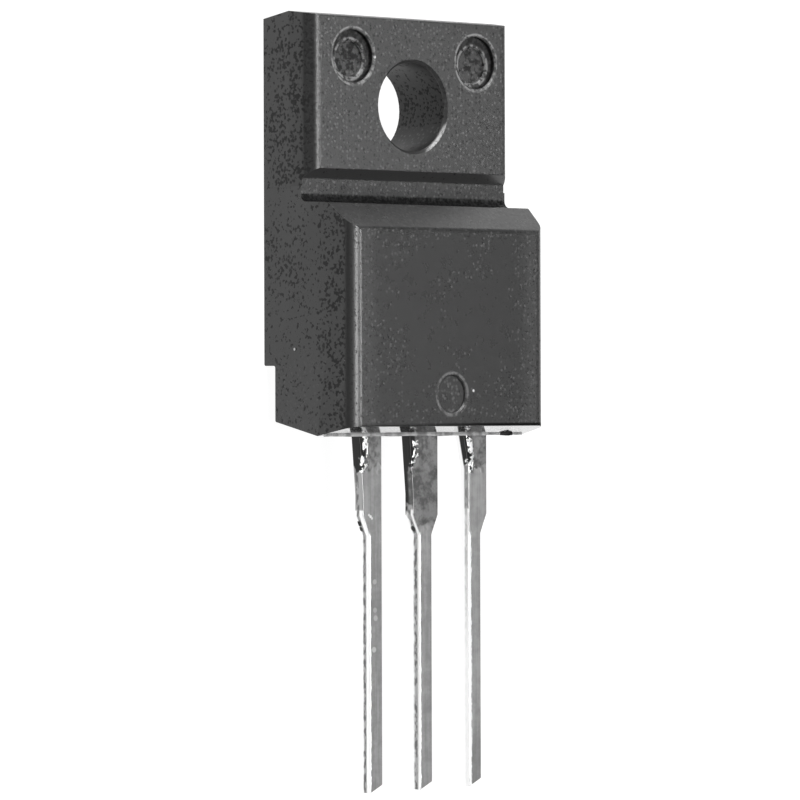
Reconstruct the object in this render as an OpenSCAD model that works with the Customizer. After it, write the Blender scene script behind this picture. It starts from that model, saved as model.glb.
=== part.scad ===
// Power transistor in a fully moulded case with three straight legs, lying on its back face.
// X runs across the legs, Y towards the screw tab, Z out of the front face.
// The origin is where the axis of the screw hole meets the back face.

/* [Case] */
// Widest width of the case, where the halves of the mould part
case_w = 10.5; // [10.4:0.05:11.4]
// Width of the back face
back_w = 10.4; // [9.6:0.05:10.4]
// Width of the front face of the body
body_front_w = 9.9; // [9.2:0.05:10.4]
// Length of the case from the end of the tab to the foot
case_l = 15.9; // [15:0.1:18]
// Thickness of the body
case_t = 4.7; // [4.4:0.05:5.4]
// Rounding of the long front edges of the body
edge_r = 0.6; // [0.2:0.05:0.8]
// Rounding of the small moulded edges
mould_r = 0.08; // [0.03:0.01:0.12]

/* [Tab] */
// Thickness of the tab
tab_t = 2.65; // [2.5:0.05:2.9]
// Width of the tab where the bevels of its long front edges begin
tab_front_w = 10.35; // [9.9:0.05:10.4]
// Width of the bevel along a long front edge of the tab
tab_bevel_w = 0.35; // [0.2:0.05:0.5]
// Height of that bevel
tab_bevel_h = 0.45; // [0.3:0.05:0.5]
// Rounding of both edges of that bevel
tab_bevel_r = 0.4; // [0.1:0.05:0.4]
// Height of the parting line on the tab, above the back face
tab_parting_z = 1.5; // [1:0.1:1.8]
// Distance from the end of the tab to the axis of the screw hole
hole_to_end = 3.45; // [3.2:0.05:4]
// Diameter of the screw hole
hole_d = 3.4; // [2.8:0.1:3.8]
// Width of the bevel round the front of the screw hole
hole_rim = 0.1; // [0.05:0.01:0.2]
// How far the end of the tab slopes in towards the back face
end_slope_back = 0.22; // [0.1:0.02:0.4]
// How far the end of the tab slopes in towards the front face
end_slope_front = 0.16; // [0.06:0.02:0.3]

/* [Groove and step] */
// Distance from the end of the tab to the cross groove
groove_to_end = 5.9; // [5.6:0.05:6]
// Depth of the cross groove
groove_d = 0.5; // [0.3:0.05:0.55]
// Length of the sloped wall of the cross groove
groove_wall_l = 0.36; // [0.2:0.02:0.45]
// Distance from the end of the tab to the step up to the body
step_to_end = 7.15; // [7:0.05:7.6]
// Fillet at the bottom of the step
step_fillet_r = 0.28; // [0.1:0.02:0.3]
// Height of the top of the step, above the back face
step_z = 3.55; // [3.3:0.05:3.8]
// Lean of the step, so that the case leaves its mould
step_lean = 0.06; // [0.02:0.01:0.1]
// Length of the bevel between the step and the front face
bevel_l = 1; // [0.7:0.05:1.4]
// Rounding between the bevel and the front face
bevel_r = 0.3; // [0.1:0.05:0.5]

/* [Foot] */
// Length of the recess at the foot of the back face
foot_recess_l = 2.1; // [1.6:0.1:2.4]
// Depth of the recess at the foot of the back face
foot_recess_d = 0.63; // [0.4:0.05:0.9]
// How far the foot slopes up towards the back
foot_slope_back = 0.53; // [0.3:0.05:0.7]
// How far the foot slopes up towards the front
foot_slope_front = 0.35; // [0.2:0.05:0.5]

/* [Pin marks] */
// Distance between the two pin marks on the tab
tab_mark_spacing = 6.3; // [6.2:0.1:6.8]
// Sideways shift of the two pin marks
tab_mark_shift = 0.12; // [0:0.02:0.2]
// Distance from the screw hole's axis up to the pin marks on the tab
tab_mark_y = 1.8; // [1.5:0.1:2]
// Diameter of a pin mark on the tab
tab_mark_d = 2; // [1.8:0.05:2.2]
// Depth of a pin mark on the tab
tab_mark_depth = 0.22; // [0.1:0.02:0.3]
// Diameter of the deeper middle of a pin mark
mark_core_d = 1.35; // [0.8:0.05:1.4]
// Extra depth of the middle of a pin mark
mark_core_depth = 0.14; // [0.08:0.01:0.2]
// How far the middle of a pin mark sits below its centre
mark_core_drop = 0.1; // [0:0.02:0.2]
// Width of the bevel round a mark
mark_rim = 0.06; // [0.03:0.01:0.07]
// Diameter of the ejector mark on the body
body_mark_d = 1.38; // [1:0.02:2]
// Depth of the ejector mark on the body
body_mark_depth = 0.1; // [0.08:0.01:0.2]
// Distance from the foot to the ejector mark
body_mark_to_foot = 1.55; // [1.4:0.05:3]
// Sideways place of the ejector mark
body_mark_x = 0.08; // [-1:0.02:1]

/* [Legs] */
// Distance between the centre lines of the legs
pitch = 2.54; // [2.5:0.02:2.6]
// Thickness of the leg strip
lead_t = 0.45; // [0.4:0.01:0.5]
// Height of the middle of the legs and of the parting line above the back face
lead_z = 3.05; // [2.8:0.05:3.1]
// Length of the legs beyond the foot
lead_l = 13.4; // [6:0.1:16]
// Width of the thin part of a leg
lead_w = 0.62; // [0.45:0.01:0.7]
// Extra width of a leg above a shoulder, on the side that has one
shoulder_w = 0.33; // [0.2:0.01:0.4]
// Distance from the foot to the shoulders
shoulder_l = 3; // [2.4:0.1:3.6]
// Length of the taper below a shoulder
taper_l = 0.75; // [0.5:0.05:1]
// How much wider the left edge of a leg is where it leaves the case
flare_w = 0.18; // [0.1:0.01:0.2]
// Length of that widening
flare_l = 2.2; // [1:0.1:2.4]
// Widening of the left edge of the source leg, which has no shoulder there
source_flare_w = 0.28; // [0.1:0.01:0.3]
// Length of the widening on the source leg
source_flare_l = 1.3; // [1:0.1:2.4]
// How much shorter a leg is on the right of its sheared tip
tip_slant = 0.3; // [0:0.05:0.4]

/* [Header pad] */
// Thickness of the copper pad that carries the chip
pad_t = 1.3; // [1:0.05:1.3]
// Moulding left between the pad and the sides of the case
pad_side_gap = 1.05; // [0.85:0.05:1.25]
// Thickness of the moulding behind the pad, which insulates it
back_skin = 0.5; // [0.4:0.05:0.55]
// Moulding left between the end of the pad and the end of the tab
pad_end_gap = 0.8; // [0.6:0.05:1]
// Moulding left between the pad and the foot recess
pad_foot_gap = 0.4; // [0.3:0.05:0.6]
// Moulding left between the screw hole and the fork of the pad
hole_wall = 1; // [0.8:0.05:1.1]
// Width of the open end of the fork
fork_w = 4.4; // [3.6:0.1:4.6]
// Rounding of the corners of the pad
pad_r = 0.3; // [0.1:0.05:0.4]

/* [Chip and bonds] */
// Width of the chip
die_w = 3; // [2:0.1:3.6]
// Length of the chip
die_l = 2.4; // [2:0.1:3]
// Thickness of the chip
die_t = 0.3; // [0.2:0.05:0.35]
// Thickness of the solder under the chip
solder_t = 0.05; // [0.03:0.01:0.08]
// Rim of solder that shows round the chip
solder_rim = 0.12; // [0.05:0.01:0.2]
// Distance from the lower edge of the pad to the middle of the chip
die_to_pad_foot = 2.6; // [2.3:0.1:3]
// Distance from the edges of the chip to the gate bond
gate_bond_inset = 0.45; // [0.4:0.05:0.7]
// Distance from the middle of the chip to the source bond
source_bond_x = 0.4; // [0.2:0.05:0.7]
// Diameter of the gate wire
gate_wire_d = 0.15; // [0.1:0.01:0.2]
// Diameter of the source wire
source_wire_d = 0.35; // [0.25:0.01:0.4]
// Height of the gate wire's loop above the line between its ends
gate_rise = 0.9; // [0.7:0.05:1.1]
// Height of the source wire's loop above the line between its ends
source_rise = 1.1; // [0.9:0.05:1.2]
// Width of a bonding post
post_w = 2.4; // [2.2:0.1:2.5]
// Length of a bonding post
post_l = 1.4; // [1:0.1:1.5]
// Moulding left between the foot and a bonding post
post_to_foot = 0.8; // [0.7:0.05:1]
// Moulding left between a bonding post and the centre leg
post_gap = 0.6; // [0.5:0.05:0.7]

/* [Hidden] */
$fn = 64;
// Angle between the flats of a fillet in an outline
fillet_step = 9;
// Overlap of a cutting shape past the face that it cuts
cut = 1;
// Flattened bond at the end of a wire, as shares of the wire's diameter
bond_length_share = 2.2;
bond_width_share = 1.3;
bond_height_share = 0.5;

end_y = hole_to_end;
foot_y = hole_to_end - case_l;
groove_y = hole_to_end - groove_to_end;
groove_z = tab_t - groove_d;
step_y = hole_to_end - step_to_end;
// The groove's floor is where the section of the tab gives way to that of the body
seam_y = (groove_y - groove_wall_l + step_y + step_fillet_r) / 2;
recess_y = foot_y + foot_slope_back + foot_recess_l;

lead_back_z = lead_z - lead_t / 2;
lead_front_z = lead_z + lead_t / 2;
wide_half_w = lead_w / 2 + shoulder_w;
leg_left_w = wide_half_w + flare_w;

pad_w = case_w - 2 * pad_side_gap;
pad_y = recess_y + pad_foot_gap;
pad_end_y = end_y - pad_end_gap;
pad_front_z = back_skin + pad_t;

solder_top_z = pad_front_z + solder_t;
die_top_z = solder_top_z + die_t;
die_y = pad_y + die_to_pad_foot;
gate_bond_x = gate_bond_inset - die_w / 2;
gate_bond_y = die_y + gate_bond_inset - die_l / 2;
post_y = foot_y + post_to_foot;
gate_post_x = -leg_left_w - post_gap - post_w;
source_post_x = wide_half_w + post_gap;

function unit(v) = v / norm(v);
function turn_sign(a, b) = sign(a[0] * b[1] - a[1] * b[0]);
function turned(v, angle) =
    [v[0] * cos(angle) - v[1] * sin(angle), v[0] * sin(angle) + v[1] * cos(angle)];

// The points of the fillet of radius r that rounds one corner, in the order of the outline
function fillet(before, corner, after, r) =
    let (
        a = unit(before - corner),
        b = unit(after - corner),
        half_angle = acos(a * b) / 2,
        centre = corner + unit(a + b) * r / sin(half_angle),
        start = corner + a * r / tan(half_angle) - centre,
        sweep = turn_sign(-a, b) * (180 - 2 * half_angle),
        steps = ceil(abs(sweep) / fillet_step)
    )
    [for (i = [0 : steps]) centre + turned(start, sweep * i / steps)];

// An outline of [x, y, fillet radius] points, listed counter-clockwise
module outline(points) {
    n = len(points);
    corners = [for (p = points) [p[0], p[1]]];
    polygon([for (i = [0 : n - 1])
        each points[i][2] > 0
            ? fillet(corners[(i + n - 1) % n], corners[i], corners[(i + 1) % n], points[i][2])
            : [corners[i]]]);
}

// A bar along X whose section is drawn in Y and Z
module along_x(length) {
    translate([-length / 2, 0, 0]) rotate([90, 0, 90]) linear_extrude(length) children();
}

// A bar from y_low to y_high whose section is drawn in X and Z
module along_y(y_low, y_high) {
    translate([0, y_high, 0]) rotate([90, 0, 0]) linear_extrude(y_high - y_low) children();
}

// The case seen from its right side: tab, cross groove, step, bevel, foot and foot recess
module side_outline() {
    outline([
        [recess_y, 0, mould_r],
        [end_y - end_slope_back, 0, 0],
        [end_y, tab_parting_z, mould_r],
        [end_y - end_slope_front, tab_t, mould_r],
        [groove_y, tab_t, mould_r],
        [groove_y - groove_wall_l, groove_z, mould_r],
        [step_y, groove_z, step_fillet_r],
        [step_y - step_lean, step_z, mould_r],
        [step_y - bevel_l, case_t, bevel_r],
        [foot_y + foot_slope_front, case_t, mould_r],
        [foot_y, lead_z, mould_r],
        [foot_y + foot_slope_back, foot_recess_d, mould_r],
        [recess_y, foot_recess_d, mould_r]
    ]);
}

// A section across the case, from the points of its right side, listed from the back to the front
module cross_section(side) {
    n = len(side);
    mirrored = [for (i = [1 : n]) [-side[n - i][0], side[n - i][1], side[n - i][2]]];
    outline(concat(side, mirrored));
}

// The sides lean in from the parting line to the back and the front, so that the mould opens
module case_block() {
    tab_side = [
        [back_w / 2, 0, 0],
        [case_w / 2, tab_parting_z, 0],
        [tab_front_w / 2, tab_t - tab_bevel_h, tab_bevel_r],
        [tab_front_w / 2 - tab_bevel_w, tab_t, tab_bevel_r]
    ];
    body_side = [
        [back_w / 2, 0, 0],
        [case_w / 2, lead_z, 0],
        [body_front_w / 2, case_t, edge_r]
    ];
    intersection() {
        along_x(case_w + 2 * cut) side_outline();
        union() {
            along_y(seam_y, end_y) cross_section(tab_side);
            along_y(foot_y, seam_y) cross_section(body_side);
        }
    }
}

// A round cut with a bevelled rim, sunk into the face at z = 0
module sunk_round(diameter, depth, rim) {
    translate([0, 0, -depth]) cylinder(h = depth + cut, d = diameter);
    translate([0, 0, -rim]) cylinder(h = rim, d1 = diameter, d2 = diameter + 2 * rim);
}

module screw_hole() {
    translate([0, 0, tab_t]) sunk_round(hole_d, tab_t + cut, hole_rim);
}

// A stepped mark left by a pin of the mould
module tab_mark() {
    sunk_round(tab_mark_d, tab_mark_depth, mark_rim);
    translate([0, -mark_core_drop, -tab_mark_depth]) sunk_round(mark_core_d, mark_core_depth, mark_rim);
}

module mould_marks() {
    for (side = [-1, 1]) {
        translate([tab_mark_shift + side * tab_mark_spacing / 2, tab_mark_y, tab_t]) tab_mark();
    }
    translate([body_mark_x, foot_y + body_mark_to_foot, case_t])
        sunk_round(body_mark_d, body_mark_depth, mark_rim);
}

// One leg seen from the front, its centre line on x = 0 and the foot of the case on y = 0.
// left_w and right_w are the extra widths above the shoulders, inner_l the stem inside the case.
module leg_outline(left_w, right_w, root_w, root_l, inner_l) {
    half = lead_w / 2;
    taper_end = -shoulder_l - taper_l;
    polygon([
        [-half - left_w - root_w, inner_l],
        [-half - left_w - root_w, 0],
        [-half - left_w, -root_l],
        [-half - left_w, -shoulder_l],
        [-half, taper_end],
        [-half, -lead_l],
        [half, -lead_l + tip_slant],
        [half, taper_end],
        [half + right_w, -shoulder_l],
        [half + right_w, inner_l]
    ]);
}

module post_outline(x) {
    outline([
        [x, post_y, pad_r],
        [x + post_w, post_y, pad_r],
        [x + post_w, post_y + post_l, pad_r],
        [x, post_y + post_l, pad_r]
    ]);
}

module pad_outline() {
    difference() {
        outline([
            [-pad_w / 2, pad_y, pad_r],
            [pad_w / 2, pad_y, pad_r],
            [pad_w / 2, pad_end_y, pad_r],
            [-pad_w / 2, pad_end_y, pad_r]
        ]);
        circle(r = hole_d / 2 + hole_wall);
        translate([-fork_w / 2, 0]) square([fork_w, pad_end_y + cut]);
    }
}

// The strap that steps down from the centre leg to the pad, seen from its right side
module strap_outline() {
    polygon([
        [foot_y + post_to_foot, lead_back_z],
        [pad_y, pad_front_z - lead_t],
        [pad_y, pad_front_z],
        [foot_y + post_to_foot, lead_front_z]
    ]);
}

// A round wire bent to one arc between two bonds, each given as the middle of its flattened end
module bond_wire(from, to, diameter, rise) {
    run = norm([to[0] - from[0], to[1] - from[1]]);
    lift = to[2] - from[2];
    chord = norm([run, lift]);
    radius = (chord * chord / 4 + rise * rise) / (2 * rise);
    half_sweep = asin(chord / 2 / radius);
    heading = atan2(to[1] - from[1], to[0] - from[0]);
    translate(from) rotate([0, 0, heading]) rotate([90, 0, 0]) rotate([0, 0, atan2(lift, run)])
        translate([chord / 2, rise - radius, 0]) rotate([0, 0, 90 - half_sweep])
            rotate_extrude(angle = 2 * half_sweep) translate([radius, 0]) circle(d = diameter);
    for (bond = [from, to]) {
        translate(bond) rotate([0, 0, heading])
            cube(diameter * [bond_length_share, bond_width_share, bond_height_share], center = true);
    }
}

// The middle of a flattened wire end that lies on a face at height z
function bond_at(x, y, z, diameter) = [x, y, z + diameter * bond_height_share / 2];

module moulded_case() {
    color("#45464a") difference() {
        case_block();
        screw_hole();
        mould_marks();
        drain_frame();
        gate_lead();
        source_lead();
        die_solder();
        silicon_die();
        gate_wire();
        source_wire();
    }
}

module drain_frame() {
    color("#b4b3b0") {
        translate([0, foot_y, lead_back_z]) linear_extrude(lead_t)
            leg_outline(shoulder_w, shoulder_w, flare_w, flare_l, post_to_foot);
        translate([-flare_w / 2, 0, 0]) along_x(leg_left_w + wide_half_w) strap_outline();
        translate([0, 0, back_skin]) linear_extrude(pad_t) pad_outline();
    }
}

module gate_lead() {
    color("#b4b3b0") translate([0, 0, lead_back_z]) linear_extrude(lead_t) {
        translate([-pitch, foot_y])
            leg_outline(shoulder_w, 0, flare_w, flare_l, post_to_foot + post_l / 2);
        post_outline(gate_post_x);
    }
}

module source_lead() {
    color("#b4b3b0") translate([0, 0, lead_back_z]) linear_extrude(lead_t) {
        translate([pitch, foot_y])
            leg_outline(0, shoulder_w, source_flare_w, source_flare_l, post_to_foot + post_l / 2);
        post_outline(source_post_x);
    }
}

module die_solder() {
    color("#9a9a9c") translate([0, die_y, pad_front_z + solder_t / 2])
        cube([die_w + 2 * solder_rim, die_l + 2 * solder_rim, solder_t], center = true);
}

module silicon_die() {
    color("#5b6270") translate([0, die_y, solder_top_z + die_t / 2])
        cube([die_w, die_l, die_t], center = true);
}

module gate_wire() {
    color("#c9cbcf") difference() {
        bond_wire(
            bond_at(gate_bond_x, gate_bond_y, die_top_z, gate_wire_d),
            bond_at(gate_post_x + post_w / 2, post_y + post_l / 2, lead_front_z, gate_wire_d),
            gate_wire_d, gate_rise);
        silicon_die();
        gate_lead();
    }
}

module source_wire() {
    color("#c9cbcf") difference() {
        bond_wire(
            bond_at(source_bond_x, die_y, die_top_z, source_wire_d),
            bond_at(source_post_x + post_w / 2, post_y + post_l / 2, lead_front_z, source_wire_d),
            source_wire_d, source_rise);
        silicon_die();
        source_lead();
    }
}

moulded_case();
drain_frame();
gate_lead();
source_lead();
silicon_die();
die_solder();
gate_wire();
source_wire();
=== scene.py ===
"""Looks, floor, lights and camera for a fully moulded power transistor lying on its back face."""

import math
import random

import bmesh
import bpy
from mathutils import Matrix, Vector


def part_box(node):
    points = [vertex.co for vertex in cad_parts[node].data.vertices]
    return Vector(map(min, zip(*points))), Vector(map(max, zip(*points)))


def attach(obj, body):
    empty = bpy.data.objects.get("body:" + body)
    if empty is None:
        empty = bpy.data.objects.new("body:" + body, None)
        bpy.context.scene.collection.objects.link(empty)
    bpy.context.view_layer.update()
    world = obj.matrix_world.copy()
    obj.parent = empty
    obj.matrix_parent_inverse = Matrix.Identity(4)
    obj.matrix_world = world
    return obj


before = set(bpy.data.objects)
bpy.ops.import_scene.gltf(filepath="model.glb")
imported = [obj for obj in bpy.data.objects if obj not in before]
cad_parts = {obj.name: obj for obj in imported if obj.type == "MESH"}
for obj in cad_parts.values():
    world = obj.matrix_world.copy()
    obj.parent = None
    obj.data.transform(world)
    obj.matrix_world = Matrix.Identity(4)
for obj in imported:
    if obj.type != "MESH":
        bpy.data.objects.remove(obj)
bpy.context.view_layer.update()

MM = 0.001

# The boxes that hold the case and the gate leg, in metres
CASE_LOW, CASE_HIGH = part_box("moulded_case")
LEG_LOW, LEG_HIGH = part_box("gate_lead")

# Places that the solids give, in millimetres
HALF_W = (CASE_HIGH.x - CASE_LOW.x) / 2 / MM
FOOT_Y = CASE_LOW.y / MM
FRONT_Z = CASE_HIGH.z / MM
LEG_BACK = LEG_LOW.z / MM
LEG_TOP = LEG_HIGH.z / MM
PARTING_Z = (LEG_LOW.z + LEG_HIGH.z) / 2 / MM

# Where the front face ends above the foot. A corner within ON_FACE of the front's height lies on it.
ON_FACE = 0.01
FRONT_END_Y = min(
    corner.co.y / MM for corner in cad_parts["moulded_case"].data.vertices
    if corner.co.z > CASE_HIGH.z - ON_FACE * MM
)

# Places on the case, in millimetres, as the part's source gives them
STEP_Y = -3.70
FRONT_TOP_Y = -4.79
GROOVE_Z = 2.15
TAB_Z = 2.65
HOLE_R = 1.7
MARK_Y = 1.8
MARK_R = 1.0
MARK_SPACING = 6.3
MARK_SHIFT = 0.12
CORE_R = 0.675
CORE_DROP = 0.1
EJECTOR_R = 0.69
EJECTOR_X = 0.08
EJECTOR_Y = FOOT_Y + 1.55

# Places on the legs, in millimetres, as the part's source gives them
PITCH = 2.54
SHOULDER_L = 3.0
THIN_HALF_W = 0.31
SHOULDER_HALF_W = 0.64
FLARE_L = 2.2
FLARE_HALF_W = 0.82
SOURCE_FLARE_L = 1.3
SOURCE_FLARE_HALF_W = 0.59

# Single specks, each at (x, y, z) in millimetres. A leg's speck also has its radius and its grey level.
LINT = ((-5.22, -9.21, 1.75), (1.17, -10.77, 4.70), (-1.95, 1.80, 2.65))
LEG_SPOTS = (
    ((-2.88, FOOT_Y - 2.97, LEG_TOP), 0.06, 0.7),
    ((-2.80, FOOT_Y - 3.03, LEG_TOP), 0.07, 0.8),
    ((-2.73, FOOT_Y - 3.10, LEG_TOP), 0.06, 0.7),
    ((-2.60, FOOT_Y - 5.48, LEG_TOP), 0.12, 0.42),
    ((-2.59, FOOT_Y - 6.54, LEG_TOP), 0.12, 0.40),
    ((-2.56, FOOT_Y - 6.84, LEG_TOP), 0.13, 0.44),
    ((-2.64, FOOT_Y - 8.02, LEG_TOP), 0.13, 0.50),
    ((-3.05, FOOT_Y - 3.30, LEG_BACK + 0.1), 0.14, 0.03),
    ((-2.96, FOOT_Y - 3.50, LEG_BACK + 0.1), 0.12, 0.05),
    ((-0.45, FOOT_Y - 3.55, LEG_BACK + 0.2), 0.16, 0.04),
)

# The middle of the pores low on the body's sides, in millimetres
SIDE_PORES_Y = -5.9

# Grey levels of the case
# Painted light: slope, groove wall. Painted shade: hole, pores, step crevice, front's lower edge, mark
# floors.
BODY_GREYS = (0.0225, 0.0245)
TAB_GREY = 0.040
SLOPE_PAINTED_LIGHT_GREY = 0.028
MARGIN_GREY = 0.039
GROOVE_PAINTED_LIGHT_GREY = 0.04
HOLE_SHADE_GREY = 0.008
PORE_SHADE_GREY = 0.002
DUST_GREY = 0.1
SHADE_GREY = 0.008
PAINTED_SHADE_GREY = 0.003
# Painted highlights on each rim of the marks and of the hole
RIM_HIGHLIGHT_GREY = 0.19
HOLE_RIM_HIGHLIGHT_GREY = 0.32
SPECKLE_GREY = 0.09
LINT_GREY = 0.55
FOOT_GREYS = (0.04, 0.07)

# Grey levels of the legs: a pair of fronts is the left leg's and the right leg's
BARE_METAL = 0.95
SHOULDER_SIDE = 0.36
TORN_GREYS = (0.14, 0.36)
DARK_FRONTS = (0.24, 0.30)
PALE_FRONTS = (0.34, 0.41)
TIP_GREY = 0.18
STAIN_GREY = 0.11
PALE_STAINS = (0.27, 0.24)
# Almost black: burnt metal, and painted shade on the legs' sides next to the case
SCORCH_AND_SHADE_GREY = 0.03

# The lip of moulding along the foot and the stub of its gate, in millimetres
FLASH_REACH = 0.025
FLASH_T = 0.02
FLASH_THIN_X = 3.2
FLASH_THIN_SHARE = 0.45
FLASH_LEFT_INSET = 0.12
FLASH_RIGHT_INSET = 0.2
STUB_X = 4.19
STUB_W = 0.6
STUB_REACH = 0.02
STUB_T = 0.04
LIP_ROOT = 0.1

# Distances and angles for the modifiers
WELD_DISTANCE = 0.0005 * MM
LEG_EDGE_R = 0.03 * MM
FLAT_ANGLE = math.radians(1)
EDGE_ANGLE = math.radians(30)
LEG_SMOOTH_ANGLE = math.radians(35)
CASE_SMOOTH_ANGLE = math.radians(24)

# The camera, measured from the photograph
CAMERA_AIM = Vector((-0.128, -11.112, 2.0)) * MM
CAMERA_AZIMUTH = math.radians(42.35)
CAMERA_ELEVATION = math.radians(-0.071)
CAMERA_ROLL = math.radians(-0.171)
CAMERA_DISTANCE = 194.49 * MM
CAMERA_LENS = 230.42
SENSOR_WIDTH = 36.0

LIGHT_DISTANCE = 400 * MM
FLOOR_HALF = 1500 * MM
FLOOR_GAP = 0.002 * MM
FLOOR_GLOW = 0.98
SURROUNDINGS = 0.03
WALL = 0.1


class Shader:
    """A node tree under construction. Each method adds its nodes and gives back their output."""

    def __init__(self, tree):
        self.tree = tree
        tree.nodes.clear()

    def add(self, kind, **inputs):
        made = self.tree.nodes.new(kind)
        for name, value in inputs.items():
            self.feed(made.inputs[name.replace("_", " ")], value)
        return made

    def feed(self, socket, value):
        if isinstance(value, bpy.types.NodeSocket):
            self.tree.links.new(value, socket)
        else:
            socket.default_value = value

    def place(self):
        """Object-space position in millimetres."""
        coords = self.add("ShaderNodeTexCoord").outputs["Object"]
        return self.vector("SCALE", coords, scale=1 / MM)

    def facing(self):
        """The direction that the surface faces, in object space, as three values."""
        return self.axes(self.add("ShaderNodeTexCoord").outputs["Normal"])

    def vector(self, operation, *values, scale=None):
        made = self.tree.nodes.new("ShaderNodeVectorMath")
        made.operation = operation
        for socket, value in zip(made.inputs, values):
            self.feed(socket, value)
        if scale is not None:
            self.feed(made.inputs["Scale"], scale)
        return made.outputs["Value" if operation in ("LENGTH", "DISTANCE") else "Vector"]

    def math(self, operation, *values):
        made = self.tree.nodes.new("ShaderNodeMath")
        made.operation = operation
        for socket, value in zip(made.inputs, values):
            self.feed(socket, value)
        return made.outputs[0]

    def product(self, first, *others):
        for other in others:
            first = self.math("MULTIPLY", first, other)
        return first

    def greatest(self, first, *others):
        for other in others:
            first = self.math("MAXIMUM", first, other)
        return first

    def plus(self, first, second):
        return self.math("ADD", first, second)

    def minus(self, first, second):
        return self.math("SUBTRACT", first, second)

    def absolute(self, value):
        return self.math("ABSOLUTE", value)

    def axes(self, position):
        split = self.add("ShaderNodeSeparateXYZ", Vector=position)
        return split.outputs["X"], split.outputs["Y"], split.outputs["Z"]

    def from_axis(self, across, along):
        """Distance from the axis of something round, from the two distances to its middle."""
        return self.vector("LENGTH", self.add("ShaderNodeCombineXYZ", X=across, Y=along).outputs[0])

    def noise(self, position, scale, detail=2.0, roughness=0.5, stretch=None):
        if stretch:
            position = self.vector("MULTIPLY", position, stretch)
        made = self.add(
            "ShaderNodeTexNoise", Vector=position, Scale=scale, Detail=detail, Roughness=roughness
        )
        return made.outputs["Fac"]

    def ramp(self, value, low, high, out_low=0.0, out_high=1.0, smooth=True):
        """out_low where the value is low, out_high where it is high, and a curve or a line between."""
        made = self.add(
            "ShaderNodeMapRange", Value=value, From_Min=low, From_Max=high, To_Min=out_low, To_Max=out_high
        )
        made.interpolation_type = "SMOOTHSTEP" if smooth else "LINEAR"
        return made.outputs["Result"]

    def choose(self, mask, outside, inside, smooth=True):
        """The first choice where the mask is 0 and the second where it is 1."""
        return self.ramp(mask, 0, 1, outside, inside, smooth)

    def ring(self, distance, radius, half_width):
        """1 on a circle, falling to 0 on both sides of it."""
        return self.ramp(self.absolute(self.minus(distance, radius)), half_width, half_width * 0.4)

    def dots(self, position, scale, radius, share=1.0):
        """1 in round dots, 0 between them. share is the part of the random places that have a dot."""
        cells = self.add("ShaderNodeTexVoronoi", Vector=position, Scale=scale)
        chance, _, _ = self.axes(cells.outputs["Color"])
        dot = self.ramp(cells.outputs["Distance"], radius, radius * 0.3)
        return self.product(dot, self.math("LESS_THAN", chance, share))

    def colour_mix(self, factor, first, second):
        made = self.tree.nodes.new("ShaderNodeMix")
        made.data_type = "RGBA"
        self.feed(made.inputs[0], factor)
        self.feed(made.inputs[6], first)
        self.feed(made.inputs[7], second)
        return made.outputs[2]

    def greys(self, factor, levels):
        """A grey between two levels."""
        return self.colour_mix(factor, grey(levels[0]), grey(levels[1]))

    def lay(self, colour, mask, level):
        """The colour with a grey over it where the mask is 1."""
        return self.colour_mix(mask, colour, grey(level))

    def bump(self, height, distance, normal=None, strength=1.0):
        made = self.add("ShaderNodeBump", Height=height, Distance=distance, Strength=strength)
        if normal:
            self.feed(made.inputs["Normal"], normal)
        return made.outputs["Normal"]

    def surface(self, **inputs):
        made = self.add("ShaderNodeBsdfPrincipled", **inputs)
        output = self.tree.nodes.new("ShaderNodeOutputMaterial")
        self.tree.links.new(made.outputs[0], output.inputs["Surface"])


def grey(level):
    return (level, level, level, 1.0)


def new_material(name):
    made = bpy.data.materials.new(name)
    made.use_nodes = True
    return made, Shader(made.node_tree)


class CaseSurface:
    """Where a point of the case lies, which way it faces, and masks that are 1 on one kind of place."""

    def __init__(self, s):
        self.place = s.place()
        self.across, self.along, self.height = s.axes(self.place)
        self.across_facing, self.along_facing, height_facing = s.facing()
        self.mottle = s.noise(self.place, 2.2, detail=4.0, roughness=0.6)
        self.flecks = s.noise(self.place, 9.0, detail=3.0, roughness=0.7)
        self.front = s.ramp(height_facing, 0.5, 0.9)
        self.side = s.ramp(self.across_facing, -0.5, -0.9)
        self.on_tab = s.ramp(self.along, STEP_Y + 0.3, STEP_Y + 0.9)
        self.slope = s.product(s.ramp(self.along_facing, 0.3, 0.5), s.ramp(self.along_facing, 0.9, 0.8))
        beyond_step = s.ramp(self.along, STEP_Y, STEP_Y + 0.3)
        self.groove_wall = s.product(s.ramp(self.along_facing, -0.3, -0.5), beyond_step)
        from_hole = s.vector("LENGTH", s.vector("MULTIPLY", self.place, (1, 1, 0)))
        below_rim = s.ramp(self.height, TAB_Z - 0.12, TAB_Z - 0.16)
        self.in_hole = s.product(s.ramp(from_hole, HOLE_R + 0.06, HOLE_R + 0.03), below_rim)
        sideways = s.absolute(self.across_facing)
        long_edge = s.product(s.ramp(sideways, 0.15, 0.3), s.ramp(sideways, 0.97, 0.87))
        self.smooth_edge = s.product(long_edge, s.choose(self.on_tab, 0.9, s.choose(self.in_hole, 0.3, 0)))


def case_ground(s, at):
    """The epoxy's greys, face by face, with painted light on the slope and the groove's wall and painted
    shade in the hole.
    """
    colour = s.greys(s.ramp(at.mottle, 0.3, 0.7), BODY_GREYS)
    colour = s.lay(colour, s.product(at.on_tab, at.front), TAB_GREY)
    # Painted light: the slope at the top of the body's front is painted lighter
    colour = s.lay(colour, at.slope, SLOPE_PAINTED_LIGHT_GREY)
    margin = s.product(s.ramp(s.absolute(at.across), 3.4, 4.3), at.front)
    colour = s.lay(colour, s.product(margin, s.choose(at.on_tab, 1, 0)), MARGIN_GREY)
    # Painted light: the groove's wall that faces the legs is painted lighter
    colour = s.lay(colour, at.groove_wall, GROOVE_PAINTED_LIGHT_GREY)
    # Painted shade: the hole's wall is painted near black
    return s.lay(colour, at.in_hole, HOLE_SHADE_GREY)


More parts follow.
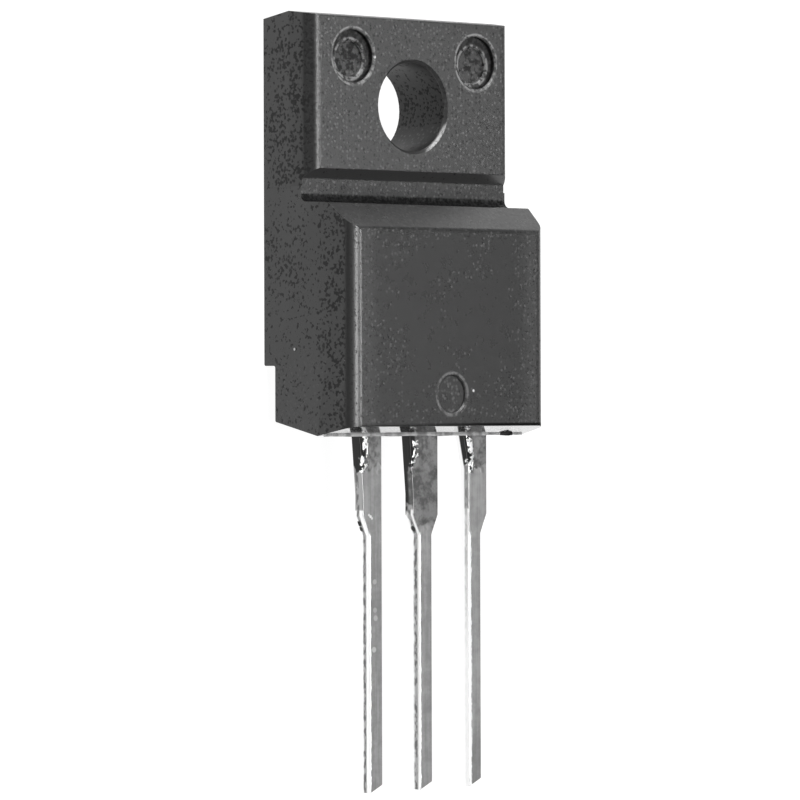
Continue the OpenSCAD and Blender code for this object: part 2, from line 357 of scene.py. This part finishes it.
def case_pores(s, at):
    """1 in the open pores, which are thickest on the sides of the tab and near the body's long edges."""
    near_edge = s.ramp(at.height, TAB_Z + 0.2, TAB_Z + 1.0, 0.05, 0.6)
    below_step = s.ramp(s.absolute(s.minus(at.along, SIDE_PORES_Y)), 2.0, 1.1, 0, 0.38)
    below_step = s.product(below_step, s.ramp(at.height, TAB_Z + 0.2, TAB_Z - 0.6))
    tab_side = s.ramp(at.height, 0.0, 0.9, 0.3, 0.65)
    tab_side = s.product(tab_side, s.ramp(at.along, 1.4, 3.2, 1, 0.45))
    share = s.choose(at.on_tab, s.greatest(near_edge, below_step), tab_side)
    share = s.choose(at.front, share, s.choose(at.on_tab, 0.05, 0.3))
    share = s.choose(at.groove_wall, share, -0.5)
    share = s.choose(at.in_hole, share, s.ramp(at.across, 0.9, 1.5, 0, 0.5))
    share = s.product(share, s.ramp(s.noise(at.place, 1.3), 0.35, 0.6, 0.4, 1.2))
    worms = s.minus(s.noise(at.place, 7.0, detail=1.0), s.product(share, 0.18))
    worms = s.product(s.ramp(worms, 0.37, 0.31), s.choose(at.front, 1, 0))
    pores = s.greatest(s.dots(at.place, 5.5, 0.5, share), worms)
    pores = s.product(pores, s.choose(at.slope, s.choose(at.front, 0.55, 0.35), 0.1))
    return s.product(pores, s.choose(at.smooth_edge, 1, 0, smooth=False))


def case_dust(s, at):
    """Pale grains of filler in clouds: their mask, how far they show, and a mask of the shade between."""
    cloud = s.ramp(s.noise(at.place, 0.5, detail=3.0), 0.47, 0.6)
    cloud = s.greatest(cloud, s.ramp(s.absolute(at.across), 2.6, 4.2, 0, 0.9))
    beside_foot = s.ramp(at.along, FRONT_END_Y + 2.2, FRONT_END_Y + 0.6, 0, 0.5)
    beside_top = s.ramp(at.along, FRONT_TOP_Y - 0.6, FRONT_TOP_Y - 0.1, 0, 0.8)
    crowd = s.greatest(cloud, s.choose(at.on_tab, s.greatest(beside_foot, beside_top), 0.8))
    shelf = s.product(at.front, s.ramp(at.height, GROOVE_Z + 0.25, GROOVE_Z + 0.1))
    crowd = s.greatest(crowd, s.product(shelf, 0.6), s.product(at.slope, 0.6))
    grit = s.dots(s.vector("ADD", at.place, (3.1, 7.7, 1.3)), 6.5, 0.5, s.product(crowd, 0.75))
    lower_side = s.product(at.side, s.ramp(at.along, FRONT_END_Y + 3.0, FRONT_END_Y + 2.0, 0, 0.4))
    dust = s.product(grit, s.greatest(s.choose(at.slope, at.front, 0.6), lower_side))
    dust = s.product(dust, s.choose(at.smooth_edge, 1, 0, smooth=False))
    strength = s.greatest(s.choose(at.on_tab, 0.45, 0.7), s.product(shelf, 0.5))
    shade = s.product(s.ramp(at.flecks, 0.44, 0.36), s.product(crowd, at.front))
    return dust, strength, shade


def case_crevice_shade(s, at):
    """1 in the painted shade along the step's fillet."""
    return s.product(
        s.ramp(at.along, STEP_Y + 0.36, STEP_Y + 0.26),
        s.ramp(at.height, GROOVE_Z + 0.34, GROOVE_Z + 0.2),
        s.ramp(at.along, STEP_Y - 0.15, STEP_Y - 0.05),
        s.choose(at.side, 0.85, 0),
        s.ramp(at.flecks, 0.4, 0.6, 1, 0.65),
    )


def case_hem_shade(s, at):
    """1 in a painted shadow along the lower end of the front face, darker to the right."""
    end = s.ramp(at.along, FRONT_END_Y + 0.12, FRONT_END_Y + 0.05)
    return s.product(end, at.front, s.ramp(at.across, -4.5, 3.0, 0.2, 0.9))


def case_marks(s, at):
    """Masks of the round marks: pin mark floors in painted shade, each rim as a painted highlight, the
    ejector mark's floor.
    """
    beside = s.minus(s.absolute(s.minus(at.across, MARK_SHIFT)), MARK_SPACING / 2)
    outer = s.from_axis(beside, s.minus(at.along, MARK_Y))
    inner = s.from_axis(beside, s.minus(at.along, MARK_Y - CORE_DROP))
    ejector = s.from_axis(s.minus(at.across, EJECTOR_X), s.minus(at.along, EJECTOR_Y))
    patches = s.noise(at.place, 5.0)

    floors = s.product(s.ramp(outer, MARK_R + 0.02, MARK_R), s.ramp(at.height, TAB_Z - 0.06, TAB_Z - 0.1))
    core = s.ramp(inner, CORE_R, CORE_R - 0.06)
    floors = s.product(floors, s.ramp(patches, 0.4, 0.6, 0.65, s.choose(core, 0.4, 0.05)))

    on_front = s.ramp(at.height, FRONT_Z - 0.3, FRONT_Z - 0.2)
    ejector_floor = s.product(s.ramp(ejector, EJECTOR_R, EJECTOR_R - 0.04), on_front)
    ejector_rim_highlight = s.product(s.ring(ejector, EJECTOR_R + 0.09, 0.1), on_front)
    core_rim_highlight = s.product(s.ring(inner, CORE_R + 0.06, 0.12), s.ramp(inner, CORE_R - 0.03, CORE_R))
    rim_highlights = s.greatest(s.ring(outer, MARK_R + 0.07, 0.08), core_rim_highlight)
    rim_highlights = s.product(rim_highlights, s.ramp(at.height, GROOVE_Z, GROOVE_Z + 0.1))
    rim_highlights = s.greatest(rim_highlights, s.product(ejector_rim_highlight, 0.5))
    rim_highlights = s.product(rim_highlights, s.ramp(patches, 0.4, 0.54, 0.15, 1))
    return floors, rim_highlights, ejector_floor


def case_hole_rim_highlight(s, at):
    """1 in a painted highlight on the hole's bevel, at its right and towards the legs, where it catches
    the light.
    """
    rim = s.ring(s.from_axis(at.across, at.along), HOLE_R + 0.07, 0.07)
    towards_light = s.minus(s.product(at.across, 0.73), s.product(at.along, 0.68))
    rim = s.product(rim, s.ramp(towards_light, 1.58, 1.70), s.ramp(at.flecks, 0.36, 0.5, 0.4, 1))
    return s.product(rim, s.ramp(at.height, TAB_Z - 0.12, TAB_Z - 0.06))


def epoxy_material():
    """Moulded epoxy: fine grain, pores, pale dust, painted shade at the step, round marks with painted
    highlights on each rim, and a smoother foot.
    """
    made, s = new_material("epoxy")
    at = CaseSurface(s)
    pores = case_pores(s, at)
    dust, strength, shade = case_dust(s, at)
    floors, rim_highlights, ejector_floor = case_marks(s, at)
    dark = s.greatest(case_crevice_shade(s, at), floors, case_hem_shade(s, at))
    foot = s.product(s.ramp(at.along_facing, -0.9, -0.96), s.ramp(at.height, PARTING_Z, PARTING_Z + 0.1))

    # Painted shade: the pores are painted near black, for the shade in the small hollows
    colour = s.lay(case_ground(s, at), pores, PORE_SHADE_GREY)
    colour = s.lay(colour, s.product(dust, strength), DUST_GREY)
    colour = s.lay(colour, s.product(shade, 0.8), SHADE_GREY)
    # Painted highlight on the hole's bevel
    colour = s.lay(colour, case_hole_rim_highlight(s, at), HOLE_RIM_HIGHLIGHT_GREY)
    # Painted shade: near black in the step's crevice, on the marks' sunk floors and along the front's
    # lower edge
    colour = s.lay(colour, dark, PAINTED_SHADE_GREY)
    # Painted highlights on each rim of the marks
    colour = s.lay(colour, rim_highlights, RIM_HIGHLIGHT_GREY)
    speckle = s.product(s.dots(at.place, 6.5, 0.55, 0.7), 0.7)
    colour = s.lay(colour, s.product(ejector_floor, speckle), SPECKLE_GREY)
    for spot in LINT:
        near = s.ramp(s.vector("DISTANCE", at.place, spot), 0.07, 0.03)
        colour = s.lay(colour, near, LINT_GREY)
    colour = s.colour_mix(foot, colour, s.greys(s.ramp(at.mottle, 0.35, 0.65), FOOT_GREYS))

    # A metal of almost no colour stands in for a hollow that gives no light back
    hollow = s.greatest(pores, dark, s.product(at.in_hole, 0.2))
    hollow = s.greatest(hollow, s.product(shade, s.choose(at.on_tab, 0.6, 0.25)))
    rough = s.ramp(at.mottle, 0.25, 0.75, 0.27, 0.29)
    rough = s.plus(rough, s.greatest(s.product(at.on_tab, 0.08), s.product(at.smooth_edge, 0.05)))
    rough = s.plus(rough, s.product(hollow, 0.35))
    rough = s.choose(foot, rough, 0.04)

    # The foot mirrors what is round it, as a dark metal under a clear coat does
    metallic = s.greatest(hollow, foot)
    grain = s.noise(at.place, 26.0, detail=3.0, roughness=0.65)
    relief = s.minus(s.product(dust, s.choose(at.on_tab, 0.25, 0.36)), pores)
    normal = s.bump(relief, 0.01 * MM, s.bump(grain, 0.006 * MM, strength=0.4))
    s.surface(
        Base_Color=colour, Roughness=rough, IOR=1.5, Metallic=metallic, Normal=normal,
        Coat_Weight=foot, Coat_Roughness=0.03, Coat_IOR=1.5,
    )
    return made


class LegSurface:
    """Where a point of the legs lies, which way it faces, and masks that are 1 on one kind of place."""

    def __init__(self, s):
        self.place = s.place()
        self.across, along, height = s.axes(self.place)
        across_facing, _, height_facing = s.facing()
        self.side = s.ramp(across_facing, -0.3, -0.7)
        self.front = s.ramp(height_facing, 0.5, 0.9)
        self.off_centre = s.math("WRAP", self.across, PITCH / 2, -PITCH / 2)
        self.middle_leg = s.ramp(s.absolute(self.across), PITCH / 2 + 0.05, PITCH / 2 - 0.05)
        self.source_leg = s.ramp(self.across, PITCH / 2, PITCH / 2 + 0.05)
        self.below_foot = s.minus(FOOT_Y, along)
        self.from_back = s.minus(height, LEG_BACK)
        self.mottle = s.noise(self.place, 2.6, detail=4.0, roughness=0.6)
        self.blotch = s.noise(self.place, 3.0, detail=1.5)
        self.torn = s.noise(self.place, 7.0, detail=2.0, stretch=(1.0, 0.5, 1.0))
        self.wander = s.plus(self.below_foot, s.ramp(self.blotch, 0.3, 0.7, -0.25, 0.25))


def leg_fronts(s, at):
    """The grey fronts, washed along their length and paler from leg to leg towards the right."""
    streaks = s.noise(at.place, 9.0, detail=4.0, stretch=(1.0, 0.06, 1.0))
    wash = s.plus(s.product(at.mottle, 0.5), s.product(streaks, 0.5))
    rightward = s.ramp(at.across, -PITCH, PITCH, smooth=False)
    darker, paler = s.greys(rightward, DARK_FRONTS), s.greys(rightward, PALE_FRONTS)
    return s.colour_mix(s.ramp(wash, 0.35, 0.65), darker, paler)


def leg_sides(s, at):
    """The sheared sides: bare metal on the thin parts, with a torn grey band along them."""
    thin_part = s.ramp(at.below_foot, SHOULDER_L - 0.25, SHOULDER_L - 0.15)
    sheared = s.greys(thin_part, (SHOULDER_SIDE, BARE_METAL))
    band_z = s.ramp(at.across, -PITCH, PITCH, 0.17, 0.32, smooth=False)
    band_z = s.plus(band_z, s.ramp(at.torn, 0.3, 0.7, -0.015, 0.015))
    band = s.ramp(s.absolute(s.minus(at.from_back, band_z)), s.choose(at.middle_leg, 0.12, 0.17), 0.04)
    band = s.product(band, s.choose(at.source_leg, 1, s.ramp(at.below_foot, 4, 9, 0.6, 0.15)))
    return s.colour_mix(band, sheared, s.greys(s.ramp(at.torn, 0.42, 0.58), TORN_GREYS))


def rolled_edge_and_highlight(s, at):
    """1 on the shear's roll-over along the left edge of the thin parts' fronts: real bare metal, painted
    as a highlight.
    """
    width = s.choose(at.source_leg, 0.055, 0.14)
    width = s.plus(width, s.ramp(at.torn, 0.3, 0.7, -0.02, 0.02))
    strip = s.ramp(s.minus(s.plus(at.off_centre, THIN_HALF_W), width), 0.015, -0.015)
    return s.product(strip, at.front, s.ramp(at.below_foot, SHOULDER_L + 0.6, SHOULDER_L + 0.9))


def burnt_top(s, at):
    """1 where the tin is burnt, next to the case and further down the middle leg."""
    from_case = s.plus(at.wander, s.choose(at.side, 0, 0.75))
    middle = s.product(at.middle_leg, s.ramp(from_case, 3.7, 3.3))
    return s.greatest(middle, s.ramp(at.wander, 1.35, 1.1))


def burnt_and_shaded_colour(s, at):
    """Stains in greys, almost black on the sides next to the case and low down: burnt metal and painted
    shade.
    """
    pale = s.greys(at.middle_leg, PALE_STAINS)
    stain = s.colour_mix(s.ramp(at.mottle, 0.36, 0.62), grey(STAIN_GREY), pale)
    blackened = s.greatest(s.ramp(at.wander, 1.45, 1.25), s.ramp(at.from_back, 0.3, 0.15))
    # Painted shade besides the burn: the sides next to the case and near their back are darkened
    return s.lay(stain, s.product(at.side, blackened), SCORCH_AND_SHADE_GREY)


def flaked_edge(s, at):
    """Two masks along the left edge of the burnt tops: scorched outside the flakes, and the flakes."""
    half_w = s.ramp(at.below_foot, 0, FLARE_L, FLARE_HALF_W, SHOULDER_HALF_W, smooth=False)
    source_half_w = s.ramp(
        at.below_foot, 0, SOURCE_FLARE_L, SOURCE_FLARE_HALF_W, THIN_HALF_W, smooth=False
    )
    from_edge = s.plus(at.off_centre, s.choose(at.source_leg, half_w, source_half_w))
    from_strip = s.minus(from_edge, s.ramp(at.wander, 0.6, 1.4, 0.3, 0.04, smooth=False))
    strip = s.product(s.ramp(s.absolute(from_strip), 0.17, 0.11), s.ramp(at.from_back, 0.3, 0.36))
    outside = s.product(s.ramp(from_strip, 0.02, -0.06), s.ramp(at.wander, 1.35, 1.1))
    gaps = s.choose(at.middle_leg, 0.45, 0.5)
    flakes = s.ramp(s.minus(s.noise(at.place, 6.0, detail=2.0), gaps), 0, 0.05)
    return outside, s.product(flakes, s.ramp(at.wander, 1.45, 1.3), strip)


def tin_material():
    """Dull tin plate: bright sheared sides, grey fronts, and burnt tops where the legs leave the case."""
    made, s = new_material("tinned_copper")
    at = LegSurface(s)
    burnt = burnt_top(s, at)
    blackened, flakes = flaked_edge(s, at)
    source_tip = s.product(at.source_leg, s.ramp(at.below_foot, 11.0, 11.8, 0, 0.4), at.front)
    bare = s.product(at.source_leg, at.side, s.ramp(at.from_back, 0.24, 0.18))

    colour = s.colour_mix(at.side, leg_fronts(s, at), leg_sides(s, at))
    colour = s.lay(colour, source_tip, TIP_GREY)
    # The roll-over is real bare metal, painted bright as a highlight along the edge
    colour = s.lay(colour, rolled_edge_and_highlight(s, at), BARE_METAL)
    colour = s.colour_mix(burnt, colour, burnt_and_shaded_colour(s, at))
    colour = s.lay(colour, blackened, SCORCH_AND_SHADE_GREY)
    colour = s.lay(colour, flakes, BARE_METAL)
    for spot, radius, level in LEG_SPOTS:
        near = s.ramp(s.vector("DISTANCE", at.place, spot), radius, radius * 0.6)
        colour = s.lay(colour, near, level)
    colour = s.lay(colour, bare, BARE_METAL)

    rough = s.ramp(at.blotch, 0.3, 0.7, 0.30, 0.33)
    normal = s.bump(s.plus(s.product(burnt, at.blotch), flakes), 0.008 * MM)
    s.surface(Base_Color=colour, Roughness=rough, Metallic=1.0, Normal=normal)
    return made


def lip_material(name, greys):
    """Thin moulding squeezed out at the foot."""
    made, s = new_material(name)
    place = s.place()
    colour = s.greys(s.ramp(s.noise(place, 3.0, detail=4.0), 0.35, 0.65), greys)
    normal = s.bump(s.noise(place, 18.0), 0.01 * MM, strength=0.6)
    s.surface(Base_Color=colour, Roughness=0.6, IOR=1.5, Specular_IOR_Level=0.0, Normal=normal)
    return made


def metal_material(name, dark, pale, roughness):
    """A finely grained metal or chip that mottles between two colours."""
    made, s = new_material(name)
    place = s.place()
    mottle = s.noise(place, 6.0, detail=3.0)
    colour = s.colour_mix(s.ramp(mottle, 0.35, 0.65), dark, pale)
    rough = s.ramp(mottle, 0.3, 0.7, roughness - 0.06, roughness + 0.06)
    normal = s.bump(s.noise(place, 40.0), 0.005 * MM, strength=0.5)
    s.surface(Base_Color=colour, Roughness=rough, Metallic=1.0, Normal=normal)
    return made


def floor_material():
    """A lit table: it glows almost white, so that the part's shadow on it stays faint."""
    made, s = new_material("floor")
    tone = s.noise(s.place(), 0.02, detail=2.0)
    s.surface(
        Base_Color=s.greys(tone, (0.09, 0.11)), Roughness=0.9, Specular_IOR_Level=0.0,
        Emission_Color=s.greys(tone, (0.98, 1.0)), Emission_Strength=FLOOR_GLOW,
    )
    return made


def dress(node, material):
    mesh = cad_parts[node].data
    mesh.materials.clear()
    mesh.materials.append(material)


def smooth_by_angle(target, angle):
    """Joins the facets that meet at less than the angle into one smooth surface, by a modifier."""
    tree = bpy.data.node_groups.new("smooth_" + target.name, "GeometryNodeTree")
    for way in ("INPUT", "OUTPUT"):
        tree.interface.new_socket("Geometry", in_out=way, socket_type="NodeSocketGeometry")
    nodes, links = tree.nodes, tree.links
    start, end = nodes.new("NodeGroupInput"), nodes.new("NodeGroupOutput")
    plain = nodes.new("GeometryNodeRemoveAttribute")
    plain.inputs["Name"].default_value = "custom_normal"
    weld = nodes.new("GeometryNodeMergeByDistance")
    weld.inputs["Distance"].default_value = WELD_DISTANCE
    faces = nodes.new("GeometryNodeSetShadeSmooth")
    faces.domain = "FACE"
    edges = nodes.new("GeometryNodeSetShadeSmooth")
    edges.domain = "EDGE"
    turn = nodes.new("GeometryNodeInputMeshEdgeAngle")
    gentle = nodes.new("FunctionNodeCompare")
    gentle.data_type, gentle.operation = "FLOAT", "LESS_THAN"
    gentle.inputs[1].default_value = angle
    links.new(turn.outputs["Unsigned Angle"], gentle.inputs[0])
    links.new(gentle.outputs[0], edges.inputs["Shade Smooth"])
    chain = (start, plain, weld, faces, edges, end)
    for before, after in zip(chain, chain[1:]):
        links.new(before.outputs[0], after.inputs[0])
    target.modifiers.new("smooth", "NODES").node_group = tree
    flats = target.modifiers.new("flats", "WEIGHTED_NORMAL")
    flats.mode = "FACE_AREA_WITH_ANGLE"
    flats.keep_sharp = True


def round_edges(target, width):
    """Joins flat faces that lie in one plane and rounds the edges between the others, by modifiers."""
    weld = target.modifiers.new("weld", "WELD")
    weld.merge_threshold = WELD_DISTANCE
    flat = target.modifiers.new("flat", "DECIMATE")
    flat.decimate_type = "DISSOLVE"
    flat.angle_limit = FLAT_ANGLE
    bevel = target.modifiers.new("bevel", "BEVEL")
    bevel.width = width
    bevel.segments = 3
    bevel.limit_method = "ANGLE"
    bevel.angle_limit = EDGE_ANGLE
    bevel.harden_normals = False


def make_lip(name, material, x_start, x_end, steps, section, seed):
    """A thin ridge along the foot. section(x, chance) gives its (y, z) corners in millimetres at x."""
    chance = random.Random(seed)
    mesh = bmesh.new()
    rings = []
    for i in range(steps + 1):
        x = x_start + (x_end - x_start) * i / steps
        rings.append([mesh.verts.new(Vector((x, y, z)) * MM) for y, z in section(x, chance)])
    corners = len(rings[0])
    for here, following in zip(rings, rings[1:]):
        for i in range(corners):
            j = (i + 1) % corners
            mesh.faces.new((here[i], here[j], following[j], following[i]))
    mesh.faces.new(rings[0][::-1])
    mesh.faces.new(rings[-1])
    bmesh.ops.recalc_face_normals(mesh, faces=mesh.faces)
    data = bpy.data.meshes.new(name)
    mesh.to_mesh(data)
    mesh.free()
    data.materials.append(material)
    lip = bpy.data.objects.new(name, data)
    bpy.context.scene.collection.objects.link(lip)
    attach(lip, "root")


def make_foot_flash():
    """The thin wavy lip of moulding that squeezed out over the legs along the foot."""

    def section(x, chance):
        share = FLASH_THIN_SHARE if x > FLASH_THIN_X else 1.0
        reach = share * (FLASH_REACH + 0.008 * math.sin(3.1 * x) + 0.004 * chance.random())
        top = LEG_TOP + share * (FLASH_T + 0.006 * chance.random())
        root, edge, upper_edge = FOOT_Y + LIP_ROOT, FOOT_Y - reach, FOOT_Y - reach * 0.8
        return [(root, LEG_TOP), (edge, LEG_TOP), (upper_edge, top), (root, top + 0.01)]

    material = lip_material("flash", (0.2, 0.4))
    x_start, x_end = FLASH_LEFT_INSET - HALF_W, HALF_W - FLASH_RIGHT_INSET
    make_lip("foot_flash", material, x_start, x_end, steps=90, section=section, seed=3)


def make_gate_stub():
    """The broken stub of the mould's gate, thickest in its middle."""

    def section(x, chance):
        bulge = 1 - abs(x - STUB_X) / (STUB_W / 2 + 0.02)
        reach = STUB_REACH + 0.02 * bulge
        top = LEG_TOP + STUB_T + 0.1 * bulge + 0.02 * chance.random()
        root, edge = FOOT_Y + LIP_ROOT, FOOT_Y - reach
        return [(root, LEG_TOP), (edge, LEG_TOP), (edge, top), (root, top)]

    material = lip_material("stub", (0.01, 0.03))
    x_start, x_end = STUB_X - STUB_W / 2, STUB_X + STUB_W / 2
    make_lip("gate_stub", material, x_start, x_end, steps=8, section=section, seed=5)


def make_floor():
    half, z = FLOOR_HALF, CASE_LOW.z - FLOOR_GAP
    corners = [(-half, -half, z), (half, -half, z), (half, half, z), (-half, half, z)]
    mesh = bpy.data.meshes.new("floor")
    mesh.from_pydata(corners, [], [(0, 1, 2, 3)])
    floor = bpy.data.objects.new("floor", mesh)
    bpy.context.scene.collection.objects.link(floor)
    mesh.materials.append(floor_material())


def make_world():
    """Dark surroundings with a paler wall low down on the right."""
    world = bpy.data.worlds.new("studio")
    bpy.context.scene.world = world
    world.use_nodes = True
    s = Shader(world.node_tree)
    across, _, height = s.axes(s.add("ShaderNodeTexCoord").outputs["Generated"])
    wall = s.product(s.ramp(across, 0.2, 0.6), s.ramp(height, 0.5, 0.15))
    strength = s.choose(wall, SURROUNDINGS, WALL, smooth=False)
    background = s.add("ShaderNodeBackground", Color=grey(1.0), Strength=strength)
    output = s.tree.nodes.new("ShaderNodeOutputWorld")
    s.tree.links.new(background.outputs[0], output.inputs["Surface"])


def from_aim(lean_left, lean_up):
    """The direction from the camera's aim that leans from straight up towards -X, then towards +Y."""
    return Vector((
        -math.sin(lean_left) * math.cos(lean_up),
        math.sin(lean_up),
        math.cos(lean_left) * math.cos(lean_up),
    ))


def aimed(back, distance, right):
    """The matrix of a camera or light that stands back from the camera's aim and looks at it."""
    turn = Matrix((right, back.cross(right), back)).transposed().to_4x4()
    return Matrix.Translation(CAMERA_AIM + back * distance) @ turn


def make_light(name, radiance, lean_left, lean_up, half_width, half_length):
    """A rectangular light above the part, facing it. Leans and sizes are in degrees, seen from there."""
    back = from_aim(math.radians(lean_left), math.radians(lean_up))
    width = 2 * LIGHT_DISTANCE * math.tan(math.radians(half_width))
    length = 2 * LIGHT_DISTANCE * math.tan(math.radians(half_length))
    data = bpy.data.lights.new(name, "AREA")
    data.shape = "RECTANGLE"
    data.size, data.size_y = width, length
    data.energy = radiance * math.pi * width * length
    light = bpy.data.objects.new(name, data)
    bpy.context.scene.collection.objects.link(light)
    light.matrix_world = aimed(back, LIGHT_DISTANCE, Vector((0, 1, 0)).cross(back).normalized())
    light.visible_camera = False


def make_lights():
    make_light("key_light", 21.5, lean_left=10, lean_up=0, half_width=7, half_length=12)
    make_light("second_light", 18.0, lean_left=-23, lean_up=0, half_width=4, half_length=12)
    make_light("side_fill", 0.3, lean_left=-44, lean_up=0, half_width=14, half_length=24)
    make_light("end_light", 9.0, lean_left=10, lean_up=60, half_width=18, half_length=13)


def make_camera():
    data = bpy.data.cameras.new("camera")
    data.sensor_width = SENSOR_WIDTH
    data.lens = CAMERA_LENS
    data.clip_start, data.clip_end = 0.001, 10.0
    camera = bpy.data.objects.new("camera", data)
    bpy.context.scene.collection.objects.link(camera)
    back = from_aim(CAMERA_AZIMUTH, CAMERA_ELEVATION)
    level_right = Vector((0, 1, 0)).cross(back).normalized()
    level_up = back.cross(level_right)
    right = level_right * math.cos(CAMERA_ROLL) + level_up * math.sin(CAMERA_ROLL)
    camera.matrix_world = aimed(back, CAMERA_DISTANCE, right)
    bpy.context.scene.camera = camera


def dress_legs():
    tin = tin_material()
    for leg in ("drain_frame", "gate_lead", "source_lead"):
        dress(leg, tin)
        round_edges(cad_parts[leg], LEG_EDGE_R)
        smooth_by_angle(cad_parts[leg], LEG_SMOOTH_ANGLE)


def dress_inside():
    """The chip, its solder and the bond wires, which the case hides."""
    dress("die_solder", metal_material("solder", grey(0.42), grey(0.52), 0.45))
    dress("silicon_die", metal_material("silicon", (0.10, 0.11, 0.14, 1), (0.13, 0.14, 0.18, 1), 0.2))
    bond_wire = metal_material("bond_wire", grey(0.72), grey(0.82), 0.3)
    for wire in ("gate_wire", "source_wire"):
        dress(wire, bond_wire)


bpy.context.scene.view_settings.view_transform = "Standard"
make_camera()
make_floor()
make_world()
make_lights()

dress("moulded_case", epoxy_material())
smooth_by_angle(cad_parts["moulded_case"], CASE_SMOOTH_ANGLE)
dress_legs()
make_foot_flash()
make_gate_stub()
dress_inside()
